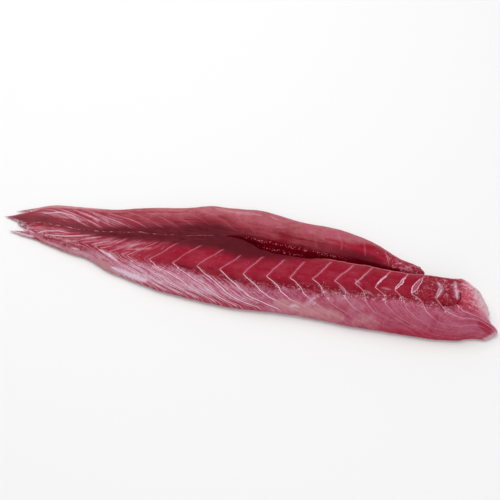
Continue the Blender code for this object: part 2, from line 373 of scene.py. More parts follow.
# Septum number at a place of the loin: the number on the line of points, read back along the lean
# of the arm. The inner arm leans a share of its length, the outer one bends to follow the rim.
def loinNumber(x, y, t):
    point = lineAt("point", x) / 100
    inner = np.clip((t - point) / (1 - point), 0, 1)
    outer = np.clip((point - t) / point, 0, 1)
    lean = lineAt("innerLean", x) * (1.15 * inner - 0.15 * inner**2)
    lean += curve(septa["outerLean"], outer * 100)
    lean += lineAt("sweep", x) * ease(0.2, 0.7, outer)
    return curve(septa["loinNumber"], x - lean) + layered("loinWobble", x, y)


# The belly's septa run back towards the tail as they cross the lobe.
def bellyNumber(x, y, t):
    lean = -lineAt("bellyLean", x) * (t - septa["bellyLeanFrom"])
    return curve(septa["bellyNumber"], x - lean) + layered("bellyWobble", x, y)


# Millimetres from one septum to the next, so that a drawn line keeps its width: one over the slope
# of the number along the surface, from the grid's own steps.
def septumSpacing(points, number):
    alongS, alongT = np.gradient(points, axis=0), np.gradient(points, axis=1)
    numberS, numberT = np.gradient(number, axis=0), np.gradient(number, axis=1)
    e, f, g = (alongS**2).sum(-1), (alongS * alongT).sum(-1), (alongT**2).sum(-1)
    area = np.maximum(e * g - f * f, 1e-9)
    slope = np.sqrt(np.maximum(e * numberT**2 - 2 * f * numberS * numberT + g * numberS**2, 0) / area)
    return np.clip(1 / np.maximum(slope, 1e-6), 0.5, 22)


# Half width of the loose flap beside a septum's inner arm: a lens, widest below the middle of the arm.
def flapHalfWidth(number, t, x):
    point = lineAt("point", x) / 100
    arm = np.clip((t - point) / (1 - point) / septa["flapLength"], 0, 1)
    lens = np.sin(math.pi * arm**0.8) ** 0.8
    return curve(septa["flapWidth"], np.clip(number, 9, 16)) * lens


cracks = {
    "main": ((146, 27.5), (146.5, 22), (145, 18), (142, 16.2)),
    "side": ((142, 16.2), (139, 15.3), (135.5, 15.8)),
    "long": ((145, 18), (148.5, 16.2), (153, 15.3), (159, 15.5)),
    "depth": 1,
    "width": 0.8,
}


# Cracks of the loin near its head end: bells round lines given as (x, millimetres across).
def crackDepth(x, t):
    across = t * form["loinWidth"]
    main = bell(distanceTo(cracks["main"], x, across)[0], cracks["width"])
    side = 0.6 * bell(distanceTo(cracks["side"], x, across)[0], cracks["width"])
    return np.maximum(main, side)


# Strokes of colour: (x and percent across of each point in turn, half width in millimetres, strength).
strokes = {
    "loinWhite": (
        ((-97, 26, -90, 24, -83, 17), 2.6, 0.95), ((-100, 15, -93, 13), 1.4, 0.8),
        ((-86, 5.5, -76, 4.5, -69, 4, -60, 4), 2.1, 1.1), ((-80, 12, -70, 10, -58, 8, -48, 7), 1.1, 0.8),
        ((-58, 13, -50, 12, -38, 10), 1.6, 0.55), ((-40, 10, -24, 8, -10, 7), 1.6, 0.6),
        ((48, 8, 52, 13, 56, 20), 1.6, 0.75), ((53, 9, 55, 13), 0.9, 0.8),
        ((59, 28, 63, 20, 66, 16), 1.6, 0.6), ((38, 5, 42, 6, 45, 5), 0.8, 0.9),
        ((64, 24, 73, 20, 86, 16), 3.4, 0.4), ((-118, 10, -112, 10), 1.8, 0.9),
        ((95, 50, 101, 49), 0.9, 0.6), ((84, 39, 88, 37, 91, 33), 0.8, 0.65),
        ((68, 38, 72, 32, 76, 28), 0.8, 0.7), ((77, 58, 81, 50), 0.9, 0.7),
        ((-168, 6, -159, 4, -148, 4), 3.6, 1.1), ((-156, 13, -153, 32, -148, 18), 1.6, 0.9),
        ((-145, 22, -140, 46, -131, 66, -122, 68), 1.1, 1.1),
        ((-139, 30, -132, 36, -121, 50, -108, 68), 1.2, 1.1), ((-113, 40, -107, 57, -100, 71), 1.4, 0.8),
        ((-104, 31, -99, 46, -92, 62), 1.2, 0.75), ((-127, 14, -120, 28, -113, 40), 1.2, 0.7),
        ((-137, 4, -125, 5), 1.4, 0.7), ((-116, 5, -108, 5, -101, 6), 1.8, 0.6),
        ((-86, 47, -76, 60, -68, 72), 1.6, 0.5), ((141, 90, 142.2, 72, 143.4, 59, 144.5, 48), 1.8, 1.1),
        ((130, 82, 132.8, 72, 133.2, 62, 131.4, 47), 1.6, 1.15), ((124, 70, 122, 60), 1.4, 0.35),
        ((138, 32, 141, 25, 145, 20), 1.4, 0.45), ((160, 52, 166, 46), 3, 0.4),
    ),
    "bellyWhite": (
        ((-147, 40, -136, 55, -126, 46, -119, 26), 1.7, 0.9),
        ((-150, 50, -138, 42, -128, 32), 2.6, 0.65), ((-122, 62, -111, 46, -106, 28), 1.2, 0.8),
        ((-113, 62, -102, 41, -99, 28), 1.1, 0.7), ((10, 67, 15, 60), 1.4, 0.8),
        ((103, 10, 107, 16, 110, 22), 1.8, 0.7), ((93, 50, 96, 32), 1, 0.6),
        ((100, 42, 106, 36, 112, 30), 1.6, 0.5),
    ),
    "loinTan": (
        ((-103, 1, -92, 5, -80, 2), 3, 0.95), ((28, 6, 49, 5, 74, 4), 3.4, 0.8),
        ((-78, 47, -70, 53, -62, 60), 2, 0.65), ((80, 3, 88, 6, 98, 5), 3.2, 0.6),
        ((30, 8, 36, 8), 1.6, 0.8), ((-150, 10, -134, 5, -118, 5, -104, 4), 3.4, 0.75),
        ((-144, 24, -130, 28, -114, 30), 3.4, 0.8),
    ),
    "bellyTan": (
        ((-168, 70, -150, 88, -124, 91, -104, 94), 5, 1), ((-108, 97, -60, 97, -28, 96), 1.8, 0.8),
        ((-30, 80, -12, 66, 2, 64), 4.8, 0.68), ((10, 92, 30, 90, 44, 90), 2.6, 0.4),
    ),
    "loinRed": (
        ((68, 3, 72, 10, 77, 20), 4, 0.6), ((131, 3, 132, 9, 134, 20), 3.2, 0.5),
        # The first stroke on the next line, along the loin's rim towards the head, is painted shade that
        # carries on the rim's darker band.
        ((98, 1, 124, 1, 140, 1, 160, 2), 1.2, 0.6), ((-140, 56, -128, 60, -116, 62), 1.4, 0.9),
        ((-139, 16, -128, 24, -120, 40), 1.8, 0.9), ((-135, 82, -129, 82, -120, 80), 1, 0.9),
        ((-110, 28, -103, 42, -97, 55), 1.6, 0.7), ((-160, 62, -146, 70), 1.8, 0.7),
        ((143, 44, 150, 39, 159, 37), 1.8, 0.9), ((146, 33, 154, 29, 160, 29), 1.2, 0.6),
        ((160, 14, 166, 12, 171, 10), 2.8, 0.9),
    ),
    "bellyRed": (
        ((-120, 72, -95, 66, -70, 68, -48, 66), 3.2, 0.75),
        ((-146, 22, -132, 28, -118, 26, -104, 28), 1.8, 0.8), ((50, 34, 75, 32, 97, 26), 3.4, 0.8),
    ),
    # The gash strokes dent the relief, and the near-black that the flesh's colours lay on them is painted
    # shade inside the gashes.
    "loinGash": (
        ((-41, 34.5, -37, 31.5, -31, 30), 1.3, 0.7), ((-22, 35, -17, 32), 0.8, 0.4),
        ((5, 31, 8, 28), 0.8, 0.4), ((84, 42, 90, 36), 1.2, 0.4),
    ),
    "bellyGash": (
        ((-5, 58.5, 4, 56), 0.5, 0.9), ((-55, 59, -39, 54, -21, 49), 0.5, 0.6),
        ((-2, 26, 1, 16, 5, 8), 0.5, 0.6),
    ),
}


# How much of a stroke lies at each place: its strength, falling off as a bell beside its line,
# which narrows towards both ends.
def laidOn(name, x, t):
    amount = np.zeros(np.shape(x))
    for line, width, strength in strokes[name]:
        places, percents = pairs(line)
        points = list(zip(places, percents / 100 * form["loinWidth"]))
        away, share = distanceTo(points, x, t * form["loinWidth"])
        taper = 0.35 + 0.65 * np.sin(math.pi * share) ** 0.7
        amount = np.maximum(amount, strength * bell(away, width * taper))
    return amount


# How far a place lies from the nearest septum along the surface, in millimetres.
def fromSeptum(number, spacing):
    return np.abs(number - np.round(number)) * spacing


# Lower along the septa, with the raised thread of the septum itself in the groove.
def septumRelief(away):
    groove = septa["grooveDepth"] * bell(away, septa["grooveWidth"])
    return septa["threadHeight"] * bell(away, septa["threadWidth"]) - groove


# How far the flesh falls over the rounded lip of the cut.
def lipFall(x, fromCut):
    grown = ease(0, 25, x - form["cutTipX"])
    return ragged["lipDrop"] * grown * (1 - rounded(fromCut, ragged["lipRounding"]))


# Relief of both lobes, alike at the seam: soft lumps, the lip of the cut and the torn head end.
def fleshRelief(x, y, fromCut, torn):
    return layered("flesh", x, y) - ragged["fleshDrop"] + torn - lipFall(x, fromCut)


# Values that the mesh carries of both lobes in the same way.
def shadeOf(lobe, x, t, number, spacing, fromTail, fromHead):
    shade = {stroke.lower(): laidOn(lobe + stroke, x, t) for stroke in ("White", "Tan", "Red", "Gash")}
    shade |= {"across": t, "septum": number, "spacing": spacing, "fromTail": fromTail, "fromHead": fromHead}
    return shade | {"bloodDepth": lineAt(lobe + "BloodDepth", x)}


# The loin's upper surface: a steep flank up to the crest, then a gentle fall to the seam,
# with the septa, flaps, torn fibres and cracks as relief on it.
def loinTop(s, t):
    x, edge, seam, fromTail, fromHead = loinPlan(s, t)
    width = seam - cutHalfWidth(x, -1) - edge
    y = edge + width * t
    crest = formLine("loinCrest", "loinThickness", x)
    besideSeam = formLine("seamHeight", "loinThickness", x)
    inner = np.clip((t - form["loinCrestAt"]) / (1 - form["loinCrestAt"]), 0, 1)
    flank = raised(t / form["loinCrestAt"], *form["loinFlankCurve"])
    crown = crest + (besideSeam - crest) * inner ** form["loinCrownCurve"]
    headRounding = form["loinEndRounding"][0] + np.diff(form["loinEndRounding"]) * t**3
    ends = rounded(fromTail, form["tailRounding"], 2) * rounded(fromHead, headRounding)
    rim = rimHeight(x)
    smooth = rim + (crown - rim) * flank * ends
    number = loinNumber(x, y, t)
    spacing = septumSpacing(np.stack([x, y, smooth], -1), number)
    flap = flapHalfWidth(number, t, x)
    away = fromSeptum(number, spacing)
    shade = shadeOf("loin", x, t, number, spacing, fromTail, fromHead)
    relief = fleshRelief(x, y, (1 - t) * width, ease(26, 4, fromHead) * layered("loinEnd", x, y))
    relief += septumRelief(away) * ease(0, 0.06, 1 - t)
    relief += septa["flapHeight"] * ease(0.4, 0, away - flap) * ease(0.1, 0.5, flap)
    relief -= cracks["depth"] * crackDepth(x, t) + ragged["loinGashDepth"] * shade["gash"]
    z = np.maximum(smooth + relief * flank * ends, np.minimum(rim, smooth))
    blood = (t - lineAt("loinBlood", x) / 100) * width
    pale = (lineAt("loinPale", x) / 100 - t) * width
    point = lineAt("point", x) / 100
    arm = ease(-0.05, 0.05, t - point)
    towardsSeam = ease(0.6, 1, (t - point) / (1 - point)) * ease(-60, -20, x) * ease(60, 40, x)
    innerGain = lineAt("innerGain", x) * (1 - 0.65 * towardsSeam)
    outerGain = lineAt("outerGain", x) * (1 - 0.8 * ease(0.24, 0.06, t) * ease(60, 100, x))
    gain = (outerGain + (innerGain - outerGain) * arm) * ease(2.5, -0.5, blood) * ease(0, 0.9, t * width)
    clear = lineAt("cutClear", x)
    nearCut = ease(clear - 1.5, clear + 1.5, (1 - t) * width + 0.1)
    outerThick = 0.06 + 0.24 * ease(0.4, 0.1, t) * ease(-75, -50, x) * ease(60, 30, x)
    return np.stack([x, y, z], -1), shade | {
        "lobe": 0.0,
        "gain": gain * nearCut,
        "thick": lineAt("innerThick", x) * arm + outerThick * (1 - arm),
        "arm": arm,
        "flap": flap,
        "pale": pale,
        "blood": blood,
        "seam": -(1 - t) * width,
        "rim": t * width,
    }


# The belly strip's upper surface: from the seam over a low crest, then a rounded fall to the rim.
def bellyTop(s, t):
    x, edge, seam, fromTail, fromHead = bellyPlan(s, t)
    innerY = seam + cutHalfWidth(x, 1)
    width = edge - innerY
    y = innerY + width * t
    drop = form["bellyDrop"] * np.clip((x - form["cutTipX"]) / form["bellyDropLength"], 0, 1)
    besideSeam = formLine("seamHeight", "loinThickness", x) * (1 - drop)
    crest = formLine("bellyCrest", "bellyThickness", x)
    crown = besideSeam + (crest - besideSeam) * raised(t / form["bellyCrestAt"], form["bellyCrownCurve"])
    flank = raised((1 - t) / (1 - form["bellyCrestAt"]), *form["bellyFlankCurve"])
    ends = rounded(fromTail, form["tailRounding"], 2) * rounded(fromHead, form["bellyEndRounding"])
    rim = rimHeight(x)
    smooth = rim + (crown - rim) * flank * ends
    number = bellyNumber(x, y, t)
    spacing = septumSpacing(np.stack([x, y, smooth], -1), number)
    shade = shadeOf("belly", x, t, number, spacing, fromTail, fromHead)
    relief = fleshRelief(x, y, t * width, ease(16, 4, fromHead) * layered("bellyEnd", x, y))
    relief += septa["bellyShare"] * septumRelief(fromSeptum(number, spacing)) * ease(0, 0.06, t)
    relief -= ragged["bellyGashDepth"] * shade["gash"]
    z = np.maximum(smooth + relief * flank * ends, np.minimum(rim, smooth))
    blood = (lineAt("bellyBlood", x) / 100 - t) * width
    gain = lineAt("bellyGain", x) * ease(0.9, 0.6, t) * ease(0.5, 3, t * width)
    return np.stack([x, y, z], -1), shade | {
        "lobe": 1.0,
        "gain": gain * ease(3, -1, blood) * ease(-0.8, -0.4, number),
        "thick": lineAt("bellyThick", x),
        "arm": 1.0,
        "flap": 0.0,
        "pale": (t - lineAt("bellyPale", x) / 100) * width,
        "blood": blood,
        "seam": t * width,
        "rim": (1 - t) * width,
    }


# The underside: flat on the table, curling up to the rim at the outer edge and at both ends.
def under(plan, side, s, t):
    x, edge, seam, fromTail, fromHead = plan(s, t)
    flatEnd = raised(np.minimum(fromTail, fromHead) / form["endUndercut"], 2)
    innerY = seam + side * (1 - (1 - form["cutFloorShare"]) * flatEnd) * cutHalfWidth(x, side)
    y = edge + (innerY - edge) * (t if side < 0 else 1 - t)
    flatEdge = raised(np.abs(y - edge) / form["edgeUndercut"], 2)
    return np.stack([x, y, rimHeight(x) * (1 - flatEdge * flatEnd)], -1)


# A face of the cut: straight from a top surface's inner edge down to the underside's, then roughened
# sideways, most at mid height.
def cutWall(upper, lower, side):
    share = np.linspace(0, 1, grid["wallRows"] + 1)[None, :, None]
    points = upper[:, None] * (1 - share) + lower[:, None] * share
    x, z = points[..., 0], points[..., 2]
    deep = (4 * share * (1 - share))[..., 0] * ease(0, 12, x - form["cutTipX"])
    deep *= ease(0, 6, z.max(1)[:, None] - 3)
    points[..., 1] -= side * deep * layered("cutFace", x, z)
    return points


# Places s along a lobe, crowded at its two ends, with one exactly at the tip of the cut.
def stations(parted):
    joined = tipShare * np.linspace(0, 1, grid["joined"] + 1) ** grid["crowding"]
    rest = 1 - (1 - tipShare) * np.linspace(1, 0, parted + 1) ** grid["crowding"]
    return np.concatenate([joined, rest[1:]])


# Corner numbers round each cell of a grid. A step above 1 thins the inside of the grid, not its border.
def cellRings(ids, step, turned):
    rows, columns = ids.shape
    i, j = np.indices(ids.shape)
    border = (i == 0) | (i == rows - 1) | (j == 0) | (j == columns - 1)
    ids = np.where(border | ((i % step == 0) & (j % step == 0)), ids, -1)
    a, b = np.meshgrid(np.arange(0, rows - 1, step), np.arange(0, columns - 1, step), indexing="ij")
    around = [(k, 0) for k in range(step)] + [(step, k) for k in range(step)]
    around += [(step - k, step) for k in range(step)] + [(0, step - k) for k in range(step)]
    rings = np.stack([ids[a + di, b + dj] for di, dj in around], -1).reshape(-1, 4 * step)
    for k in range(1, 4 * step):
        rings[:, k] = np.where(rings[:, k] < 0, rings[:, k - 1], rings[:, k])
    return rings[:, ::-1] if turned else rings


# One mesh from rings of corner numbers: a corner that repeats the one before it is dropped.
def meshFromRings(name, points, rings):
    keep = [ring != np.roll(ring, 1, axis=1) for ring in rings]
    counts = np.concatenate([k.sum(1) for k in keep])
    whole = [k.sum(1) > 2 for k in keep]
    loops = np.concatenate([ring[w][k[w]] for ring, k, w in zip(rings, keep, whole)])
    counts = counts[counts > 2]
    used, loops = np.unique(loops, return_inverse=True)
    mesh = bpy.data.meshes.new(name)
    mesh.vertices.add(len(used))
    mesh.vertices.foreach_set("co", (points[used] * mm).astype(np.float32).ravel())
    mesh.loops.add(len(loops))
    mesh.loops.foreach_set("vertex_index", loops.ravel().astype(np.int32))
    mesh.polygons.add(len(counts))
    mesh.polygons.foreach_set("loop_start", (np.cumsum(counts) - counts).astype(np.int32))
    mesh.update(calc_edges=True)
    mesh.shade_smooth()
    return mesh, used


# The whole fillet: both lobes' upper and under surfaces and the two faces of the cut, in one body.
def buildFillet():
    surfaces = []
    loinColumns = np.linspace(0, 1, grid["loinColumns"] + 1) ** grid["loinCrowding"]
    bellyColumns = 1 - np.linspace(1, 0, grid["bellyColumns"] + 1) ** grid["bellyCrowding"]
    lobes = (
        (loinTop, loinPlan, -1, grid["loin"], loinColumns),
        (bellyTop, bellyPlan, 1, grid["belly"], bellyColumns),
    )
    for top, plan, side, parted, columns in lobes:
        s, t = np.meshgrid(stations(parted), columns, indexing="ij")
        upper, shade = top(s, t)
        shade = {name: np.broadcast_to(values, s.shape) for name, values in shade.items()}
        shade |= {"wall": np.zeros(s.shape), "under": np.zeros(s.shape)}
        lower = under(plan, side, s, t)
        inner = -1 if side < 0 else 0
        wall = cutWall(upper[grid["joined"] :, inner], lower[grid["joined"] :, inner], side)
        wallShade = {
            name: np.broadcast_to(values[grid["joined"] :, inner, None], wall.shape[:2])
            for name, values in shade.items()
        }
        depth = np.broadcast_to(np.linspace(0, 1, grid["wallRows"] + 1), wall.shape[:2])
        surfaces.append((upper, shade, 1, False))
        surfaces.append((wall, wallShade | {"wall": depth}, 1, side > 0))
        surfaces.append((lower, shade | {"under": np.ones(s.shape)}, 2, True))
    points = np.concatenate([surface[0].reshape(-1, 3) for surface in surfaces])
    points = np.clip(points, lowCorner, highCorner)
    first, ids = np.unique(np.round(points, 3), axis=0, return_index=True, return_inverse=True)[1:]
    rings = []
    start = 0
    for grown, shade, step, turned in surfaces:
        count = grown[..., 0].size
        rings.append(cellRings(ids.ravel()[start : start + count].reshape(grown.shape[:2]), step, turned))
        start += count
    mesh, used = meshFromRings("raw_fillet", points[first], rings)
    for name in surfaces[0][1]:
        values = np.concatenate([surface[1][name].reshape(-1) for surface in surfaces])
        layer = mesh.attributes.new(name, "FLOAT", "POINT")
        layer.data.foreach_set("value", values[first][used].astype(np.float32))
    return mesh


# A wrapped socket: arithmetic on it adds Math nodes.
class Wire:
    def __init__(self, finish, socket):
        self.finish, self.socket = finish, socket

    def math(self, operation, *values, clamp=False):
        settings = {"operation": operation, "use_clamp": clamp}
        return self.finish.add("Math", settings, dict(enumerate(values)))

    def __add__(self, other):
        return self.math("ADD", self, other)

    def __sub__(self, other):
        return self.math("SUBTRACT", self, other)

    def __rsub__(self, other):
        return self.math("SUBTRACT", other, self)

    def __mul__(self, other):
        return self.math("MULTIPLY", self, other)

    def __truediv__(self, other):
        return self.math("DIVIDE", self, other)

    def __abs__(self):
        return self.math("ABSOLUTE", self)

    __radd__ = __add__


# A material's nodes. Lengths in its textures are millimetres on the piece.
class Finish:
    def __init__(self, name):
        self.material = bpy.data.materials.new(name)
        self.material.use_nodes = True
        self.tree = self.material.node_tree
        self.shader = self.tree.nodes["Principled BSDF"]
        place = self.add("TexCoord", {}, {}, "Object")
        self.place = self.add("VectorMath", {"operation": "SCALE"}, {0: place, "Scale": 1 / mm})
        self.x, self.y, self.z = (self.add("SeparateXYZ", {}, {0: self.place}, k) for k in range(3))

    # Any node: its type, its settings, then the values or links of its sockets.
    def add(self, kind, settings, sockets, out=0):
        node = self.tree.nodes.new("ShaderNode" + kind)
        for key, value in settings.items():
            setattr(node, key, value)
        for key, value in sockets.items():
            if isinstance(value, Wire):
                self.tree.links.new(value.socket, node.inputs[key])
            else:
                node.inputs[key].default_value = value
        return Wire(self, node.outputs[out])

    # From 0 at low to 1 at high, eased, and the same the other way where low is the larger.
    def ease(self, low, high, value):
        sockets = {"Value": value, "From Min": low, "From Max": high}
        return self.add("MapRange", {"interpolation_type": "SMOOTHSTEP"}, sockets)

    # The same between two places along the fillet.
    def along(self, low, high):
        return self.ease(low, high, self.x)

    # How far a number is from the nearest whole one.
    def offWhole(self, number):
        return abs(number.math("FRACT", number + 0.5) - 0.5)

    # Distance from the place (u, v) to a line through points.
    def distance(self, points, u, v):
        nearest = None
        for (ax, ay), (bx, by) in zip(points, points[1:]):
            dx, dy = bx - ax, by - ay
            scale = dx * dx + dy * dy
            along = (u - ax) * (dx / scale) + (v - ay) * (dy / scale)
            along = along.math("MULTIPLY", along, 1.0, clamp=True)
            du, dv = u - ax - along * dx, v - ay - along * dy
            away = du.math("SQRT", du * du + dv * dv)
            nearest = away if nearest is None else away.math("MINIMUM", away, nearest)
        return nearest

    # Cloud-like values from 0 to 1 whose lumps measure sizes (x, y, z) in millimetres.
    def cloud(self, sizes, detail, offset, parts=None):
        scaled = [part / size for part, size in zip(parts or (self.x, self.y, self.z), sizes)]
        vector = self.add("CombineXYZ", {}, {0: scaled[0], 1: scaled[1], 2: scaled[2] + offset})
        return self.add("TexNoise", {}, {"Vector": vector, "Scale": 1.0, "Detail": detail})

    # The named noises, centred on zero, each times how far it sways a value.
    def sway(self, **sizes):
        return sum((getattr(self, name) - 0.5) * size for name, size in sizes.items())

    # A mix of two colours, each a socket or a name.
    def mix(self, amount, *pair):
        first, second = (value if isinstance(value, Wire) else screen(*colours[value]) for value in pair)
        settings = {"data_type": "RGBA", "blend_type": "MIX"}
        return self.add("Mix", settings, {0: amount, 6: first, 7: second}, 2)

    # Lays a colour over the one so far, as strongly as the amount says.
    def lay(self, amount, colour):
        self.colour = self.mix(amount, self.colour, colour)

    def connect(self, name, wire):
        self.tree.links.new(wire.socket, self.shader.inputs[name])


# A colour as a screen shows it, 0 to 255, in the linear light that the shader takes.
def screen(red, green, blue):
    share = np.array([red, green, blue]) / 255
    linear = np.where(share <= 0.04045, share / 12.92, ((share + 0.055) / 1.055) ** 2.4)
    return (*(float(value) for value in linear), 1.0)


colours = {
    "crimson": (146, 4, 38), "crimsonLight": (168, 42, 66), "crimsonTail": (178, 80, 94),
    "crimsonBrown": (112, 2, 22), "crimsonSeam": (150, 44, 56),
    "pale": (186, 104, 130), "paleHead": (180, 88, 114), "paleStreak": (226, 188, 206),
    "mauve": (176, 72, 104), "mauveHead": (168, 56, 84),
    "belly": (164, 72, 82), "bellyPale": (190, 114, 124), "bellyRose": (176, 78, 100),
    "blood": (104, 26, 38), "bloodDark": (80, 4, 20), "bloodTail": (126, 52, 60),
    "septum": (214, 144, 160), "septumPale": (242, 214, 228),
    "flap": (172, 76, 106), "white": (234, 208, 224), "tan": (202, 142, 148), "tailBrown": (130, 30, 44),
    # gash: near-black, painted shade inside the torn gashes and the cracks.
    # lip: a painted sheen along the loin's rounded lip of the cut.
    # rim: painted shade, the darker crimson of the loin's rim where the flank curls under.
    "red": (160, 28, 54), "gash": (52, 2, 10), "rim": (166, 36, 62), "lipSheen": (206, 124, 138),
    # speck: a painted highlight, the glints on the faces of the cut.
    "wall": (150, 0, 30), "wallDeep": (106, 0, 20), "speck": (252, 142, 160), "under": (186, 124, 136),
    "headPink": (204, 84, 108), "head": (234, 200, 210),
}

# Noises that the flesh's colours share: (sizes in millimetres, detail, offset).
noises = {
    "broad": ((16, 12, 12), 2, 0),
    "middle": ((5, 4, 4), 2, 12),
    "small": ((2.4, 2, 2), 2, 33),
    "fine": ((1.2, 1.2, 1.2), 3, 0),
    "lengthwise": ((14, 1.3, 1.3), 3, 0),
    "shadow": ((9, 7, 7), 2, 110),
    "patchy": ((6, 5, 5), 2, 50),
    "dash": ((3, 50, 50), 2, 9),
    # This noise places the painted glints on the cut's faces.
    "speck": ((0.9, 0.9, 0.8), 0, 20),
    "grain": ((0.7, 0.7, 0.7), 2, 70),
    # This noise places the painted glints on the flesh.
    "fleck": ((1, 1, 1), 0, 90),
}

# The same for streaks that run along the septa, in a space of (septum number, y, x).
streaks = {"streak": ((2.1, 16, 16), 2, 0), "streakFine": ((1, 9, 9), 2, 30)}
streakPitch = 12  # what one septum number measures in that space

# The ridges of noise that draw torn fibres.
ridged = {"Scale": 0.185, "Detail": 2, "Distortion": 2.6, "Offset": 1, "Gain": 1}

# Fixed values of the flesh's shader and of its bump, whose distance is metres.
shine = {
    "Specular IOR Level": 0.06,
    "Subsurface Weight": 0.1,
    "Subsurface Radius": (1.0, 0.25, 0.2),
    "Subsurface Scale": 0.0015,
}
bump = {"Strength": 0.3, "Distance": 0.0005}


# What the flesh's layers share: the mesh's own values, the noises, and the uneven border between the
# crimson and the paler flesh.
def fleshValues(f, mesh):
    for layer in mesh.attributes:
        if layer.data_type == "FLOAT":
            setattr(f, layer.name, f.add("Attribute", {"attribute_name": layer.name}, {}, "Fac"))
    f.loin = 1 - f.lobe
    for name, noise in noises.items():
        setattr(f, name, f.cloud(*noise))
    for name, noise in streaks.items():
        setattr(f, name, f.cloud(*noise, (f.septum * streakPitch, f.y, f.x)))
    ridges = f.add("TexNoise", {"noise_type": "RIDGED_MULTIFRACTAL"}, ridged | {"Vector": f.place})
    f.fibres = f.ease(1.1, 1.6, ridges)
    f.border = f.pale + f.sway(broad=5, middle=4, small=2)
    spread = 3 + f.lobe * 2.4
    f.paleMask = f.ease(spread * -1, spread, f.border + f.sway(fine=4))


# Crimson inner flesh: deep towards the head, lighter and streaked in the tail, deepest by the pale zone.
def innerFlesh(f):
    mottle = f.broad * 0.45 + f.middle * 0.3 + f.lengthwise * 0.25
    f.colour = f.mix(f.ease(0.42, 0.68, mottle), "crimson", "crimsonLight")
    f.lay(f.ease(0.5, 0.72, f.middle * 0.6 + f.small * 0.4) * 0.5, "crimsonBrown")
    beside = f.ease(-9, -3, f.pale + f.sway(middle=5)) * f.along(-70, -30)
    f.lay(beside * f.loin * 0.55, "crimsonBrown")
    f.lay(f.ease(0.5, 0.66, f.shadow) * 0.45 * f.along(-60, -20), "crimsonSeam")
    beside = f.ease(-13, -4, f.seam) * f.along(25, 45) * f.along(110, 80)
    f.lay(beside * f.loin * f.ease(0.3, 0.6, f.broad) * 0.6, "crimsonSeam")
    belly = f.mix(f.ease(0.35, 0.7, f.broad * 0.5 + f.lengthwise * 0.5), "crimsonBrown", "belly")
    f.lay(f.lobe * 0.8 * f.along(75, 40), belly)
    towardsTail = f.ease(-40, -110, f.x + f.sway(broad=40)) * (1 - f.lobe * 0.4)
    f.lay(towardsTail * 0.75, "crimsonTail")
    strands = f.ease(0.5, 0.66, f.streak * 0.6 + f.streakFine * 0.4)
    f.lay(towardsTail * strands * 0.6, "paleStreak")
    strands = f.ease(0.52, 0.42, f.streak * 0.5 + f.middle * 0.5)
    f.lay(towardsTail * strands * 0.8, "crimson")


# The paler outer flesh: streaked along the septa towards the tail, plainer towards the head.
def outerFlesh(f):
    mottle = f.ease(0.3, 0.7, f.middle * 0.5 + f.broad * 0.3 + f.streak * 0.2)
    outer = f.mix(mottle, "mauve", "pale")
    outer = f.mix(f.along(10, 70), outer, f.mix(mottle, "mauveHead", "paleHead"))
    haze = f.streak * 0.35 + f.streakFine * 0.25 + f.small * 0.1 + f.fine * 0.3
    haze = f.ease(0.42, 0.68, haze + f.ease(0, 9, f.border) * 0.06)
    streaky = f.along(50, 0)
    outer = f.mix(haze * (0.14 + streaky * 0.5), outer, "paleStreak")
    darker = f.ease(0.52, 0.4, f.streakFine * 0.6 + f.streak * 0.4) * streaky
    outer = f.mix(darker * 0.55, outer, "mauveHead")
    soft = f.ease(0.3, 0.75, f.middle * 0.4 + f.broad * 0.4 + f.lengthwise * 0.2)
    rosy = f.ease(0.42, 0.62, f.broad) * f.along(-70, 10)
    belly = f.mix(rosy * 0.7, f.mix(soft, "belly", "bellyPale"), "bellyRose")
    f.lay(f.paleMask, f.mix(f.lobe, outer, belly))


# Red strokes, and painted shade along the loin's rim: a darker crimson band where the flank curls under.
def redFlesh(f):
    f.lay(f.ease(0.1, 0.9, f.red * (0.6 + f.small * 0.8)) * 0.85, "red")
    # Painted shade: the pale flank is darkened to crimson towards the loin's rim.
    rim = f.ease(2.2, 0.6, f.rim + f.sway(middle=3) - f.along(-65, -35) * 1.1)
    rim *= f.loin * f.along(-95, -70) * (1 - f.along(15, 30) * f.along(95, 80))
    f.lay(rim * (0.75 - f.along(80, 95) * 0.35), "rim")


# The dark blood line along the seam.
def bloodLine(f):
    edge = f.blood + f.sway(broad=7, lengthwise=6)
    soft = f.along(-70, -35) * f.loin * 3
    f.bloodMask = f.ease(soft * -1 - 3.8, 3.8, edge) * f.bloodDepth
    paler = f.ease(0.3, 0.65, f.lengthwise * 0.6 + f.middle * 0.4)
    paler *= f.ease(10, -50, f.x + f.sway(broad=40))
    blood = f.mix(paler, "bloodDark", "blood")
    blood = f.mix(f.along(-95, -125) * (0.3 + f.lengthwise * 0.9), blood, "bloodTail")
    f.lay(f.bloodMask * 0.96, blood)


# Septa are pale lines where the septum number is whole, with a faint halo. Finer ones lie halfway
# between the outer arms, where they crowd together towards the tail.
def septumLines(f):
    jitter = f.sway(middle=0.05, small=0.03)
    f.away = f.offWhole(f.septum + jitter) * f.spacing
    outerArm = 1 - f.arm
    broken = f.ease(0.3, 0.6, f.patchy) * 0.6 + 0.4
    line = f.ease(0.24, 0.02, f.away - f.small * f.thick) * f.gain
    line *= broken + outerArm * (1 - broken) * 0.5
    f.lay(f.ease(1.8, 0, f.away) * f.gain * 0.14, "pale")
    f.lay(line * 0.95, f.mix(outerArm, "septum", "septumPale"))
    finer = f.offWhole(f.septum * 2 + 0.5 + f.sway(middle=0.3, broad=0.4))
    finer = f.ease(0.34, 0.05, finer * f.spacing * 0.5) * f.paleMask * f.along(30, 5) * f.along(-95, -80)
    f.lay(finer * f.loin * broken * 0.6, "septumPale")


# Flaps are pale and torn, with a bright edge.
def looseFlaps(f):
    away = f.away - f.flap + f.sway(small=1.2, fine=0.6)
    inside = f.ease(0.3, -0.1, away) * f.ease(0.2, 0.5, f.flap)
    f.lay(inside * (0.4 + f.small * 0.7), "flap")
    f.lay(inside * f.ease(-0.7, -0.1, away) * (0.5 + f.fine * 0.8), "septumPale")
